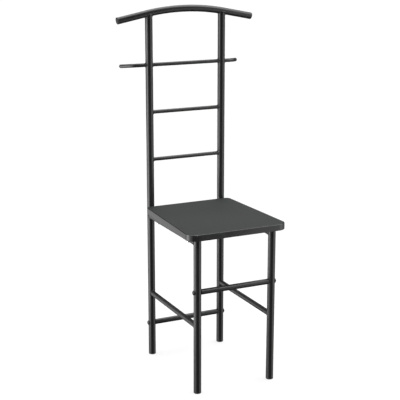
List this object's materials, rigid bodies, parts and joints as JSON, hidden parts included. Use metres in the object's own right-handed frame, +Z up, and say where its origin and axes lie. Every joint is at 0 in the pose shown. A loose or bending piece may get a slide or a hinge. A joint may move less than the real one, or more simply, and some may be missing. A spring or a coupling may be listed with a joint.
{
  "type": "valet stand",
  "caption": "Tube-steel valet stand with a seat board, a curved hanger bar, a tie bar with swept-back ends and rungs between its uprights.",
  "frame": {"origin": "centre of the bounding box's bottom face, on the floor", "axes": "+Z up; the front, where a person sits, faces -Y; +X to the right of someone looking at the back from the front"},
  "size_m": [0.4372, 0.407, 1.073],
  "materials": {
    "powder_coat": "satin black powder coat with a fine orange peel",
    "black_screw": "black oxide steel",
    "zinc_plate": "bright zinc plated",
    "bare_steel": "drawn tube, uncoated",
    "plug_plastic": "moulded black polyethylene, satin",
    "seat_laminate": "anthracite melamine on board, fine matt texture"
  },
  "bodies": {
    "root": {"rear_leg_left": "powder_coat", "rear_leg_right": "powder_coat", "front_leg_left": "powder_coat", "front_leg_right": "powder_coat", "seat_rail_left": "powder_coat", "seat_rail_right": "powder_coat", "side_stretcher_left": "powder_coat", "side_stretcher_right": "powder_coat", "front_crossbar": "powder_coat", "rear_crossbar": "powder_coat", "crossbar_thread_inserts": "zinc_plate", "front_crossbar_screws": "black_screw", "rear_crossbar_screws": "black_screw", "back_upright_left": "powder_coat", "back_upright_right": "powder_coat", "joint_spigot_left": "bare_steel", "joint_spigot_right": "bare_steel", "hanger_bar": "powder_coat", "hanger_end_plug_left": "plug_plastic", "hanger_end_plug_right": "plug_plastic", "tie_bar": "powder_coat", "tie_bar_end_cap_left": "plug_plastic", "tie_bar_end_cap_right": "plug_plastic", "upper_rung": "powder_coat", "lower_rung": "powder_coat", "foot_plug_rear_left": "plug_plastic", "foot_plug_rear_right": "plug_plastic", "foot_plug_front_left": "plug_plastic", "foot_plug_front_right": "plug_plastic", "seat_board": "seat_laminate", "seat_screws": "zinc_plate"}
  },
  "joints": []
}
